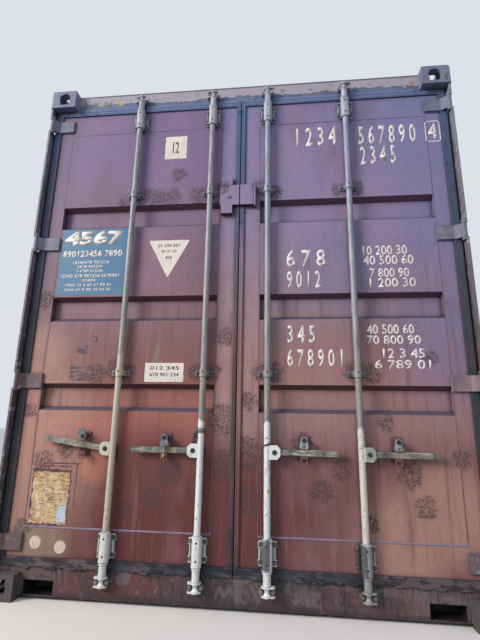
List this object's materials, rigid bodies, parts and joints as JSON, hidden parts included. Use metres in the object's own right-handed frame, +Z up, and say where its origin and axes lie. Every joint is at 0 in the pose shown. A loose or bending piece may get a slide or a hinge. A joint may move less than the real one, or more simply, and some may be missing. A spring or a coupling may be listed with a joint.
{
  "type": "forty foot high cube shipping container",
  "caption": "Corrugated steel shipping container with two hinged doors, turning locking bars and slotted corner castings.",
  "frame": {"origin": "centre of the ground face of the bottom corner castings", "axes": "+X to the right looking at the doors, +Y from the doors to the front wall, +Z up"},
  "size_m": [2.438, 12.192, 2.896],
  "materials": {
    "frame_paint": "weathered satin paint",
    "casting_paint": "worn paint over cast steel",
    "frame_steel": "worn paint over forged steel",
    "door_paint": "weathered satin paint",
    "underframe_paint": "bituminous paint",
    "gasket_rubber": "dusty matt",
    "galvanised_steel": "weathered zinc",
    "floor_plywood": "worn plywood",
    "vent_plastic": "painted"
  },
  "bodies": {
    "root": {"top_castings": "casting_paint", "bottom_castings": "casting_paint", "rear_post_left": "frame_paint", "rear_post_right": "frame_paint", "front_post_left": "frame_paint", "front_post_right": "frame_paint", "door_header": "frame_paint", "door_sill": "frame_paint", "front_header": "frame_paint", "front_sill": "frame_paint", "top_rail_left": "frame_paint", "top_rail_right": "frame_paint", "bottom_rail_left": "frame_paint", "bottom_rail_right": "frame_paint", "side_wall_left": "frame_paint", "side_wall_right": "frame_paint", "front_wall": "frame_paint", "roof": "frame_paint", "floor": "floor_plywood", "cross_members": "underframe_paint", "gooseneck_tunnel": "underframe_paint", "hinge_pins": "frame_steel", "cam_keepers": "frame_steel", "ventilators": "vent_plastic"},
    "door_left": {"door_frame_left": "door_paint", "door_panel_left": "door_paint", "gasket_left": "gasket_rubber", "hinge_blades_left": "frame_steel", "bar_brackets_left": "galvanised_steel", "handle_catches_left": "galvanised_steel", "guard_plate_left": "door_paint"},
    "door_right": {"door_frame_right": "door_paint", "door_panel_right": "door_paint", "gasket_right": "gasket_rubber", "hinge_blades_right": "frame_steel", "bar_brackets_right": "galvanised_steel", "handle_catches_right": "galvanised_steel", "guard_plate_right": "door_paint"},
    "bar_1": {"lock_bar_1": "galvanised_steel"},
    "bar_2": {"lock_bar_2": "galvanised_steel"},
    "bar_3": {"lock_bar_3": "galvanised_steel"},
    "bar_4": {"lock_bar_4": "galvanised_steel"},
    "lever_1": {"handle_1": "galvanised_steel"},
    "lever_2": {"handle_2": "galvanised_steel"},
    "lever_3": {"handle_3": "galvanised_steel"},
    "lever_4": {"handle_4": "galvanised_steel"},
    "catch_1": {"hasp_1": "galvanised_steel"},
    "catch_2": {"hasp_2": "galvanised_steel"},
    "catch_3": {"hasp_3": "galvanised_steel"},
    "catch_4": {"hasp_4": "galvanised_steel"}
  },
  "joints": [
    {"name": "left_door_swing", "type": "hinge", "parent": "root", "child": "door_left", "pos_m": [-1.201, -6.074, 1.45], "axis": [0, 0, -1], "range_deg": [0, 263.5]},
    {"name": "right_door_swing", "type": "hinge", "parent": "root", "child": "door_right", "pos_m": [1.201, -6.074, 1.45], "axis": [0, 0, 1], "range_deg": [0, 263.5]},
    {"name": "bar_1_turn", "type": "hinge", "parent": "door_left", "child": "bar_1", "pos_m": [-0.626, -6.074, 0.713], "axis": [0, 0, -1], "range_deg": [-105, 0]},
    {"name": "bar_2_turn", "type": "hinge", "parent": "door_left", "child": "bar_2", "pos_m": [-0.172, -6.074, 0.713], "axis": [0, 0, -1], "range_deg": [-105, 0]},
    {"name": "bar_3_turn", "type": "hinge", "parent": "door_right", "child": "bar_3", "pos_m": [0.161, -6.074, 0.713], "axis": [0, 0, 1], "range_deg": [-105, 0]},
    {"name": "bar_4_turn", "type": "hinge", "parent": "door_right", "child": "bar_4", "pos_m": [0.614, -6.074, 0.713], "axis": [0, 0, 1], "range_deg": [-105, 0]},
    {"name": "handle_1_lift", "type": "hinge", "parent": "bar_1", "child": "lever_1", "pos_m": [-0.662, -6.074, 0.713], "axis": [0, 1, 0], "range_deg": [-8, 0]},
    {"name": "handle_2_lift", "type": "hinge", "parent": "bar_2", "child": "lever_2", "pos_m": [-0.208, -6.074, 0.713], "axis": [0, 1, 0], "range_deg": [0, 8]},
    {"name": "handle_3_lift", "type": "hinge", "parent": "bar_3", "child": "lever_3", "pos_m": [0.197, -6.074, 0.713], "axis": [0, -1, 0], "range_deg": [0, 8]},
    {"name": "handle_4_lift", "type": "hinge", "parent": "bar_4", "child": "lever_4", "pos_m": [0.65, -6.074, 0.713], "axis": [0, -1, 0], "range_deg": [0, 8]},
    {"name": "hasp_1_turn", "type": "hinge", "parent": "door_left", "child": "catch_1", "pos_m": [-0.786, -6.085, 0.773], "axis": [0, 1, 0], "range_deg": [-150, 0]},
    {"name": "hasp_2_turn", "type": "hinge", "parent": "door_left", "child": "catch_2", "pos_m": [-0.356, -6.085, 0.773], "axis": [0, 1, 0], "range_deg": [0, 150]},
    {"name": "hasp_3_turn", "type": "hinge", "parent": "door_right", "child": "catch_3", "pos_m": [0.341, -6.085, 0.773], "axis": [0, -1, 0], "range_deg": [0, 150]},
    {"name": "hasp_4_turn", "type": "hinge", "parent": "door_right", "child": "catch_4", "pos_m": [0.785, -6.085, 0.773], "axis": [0, -1, 0], "range_deg": [0, 150]}
  ]
}
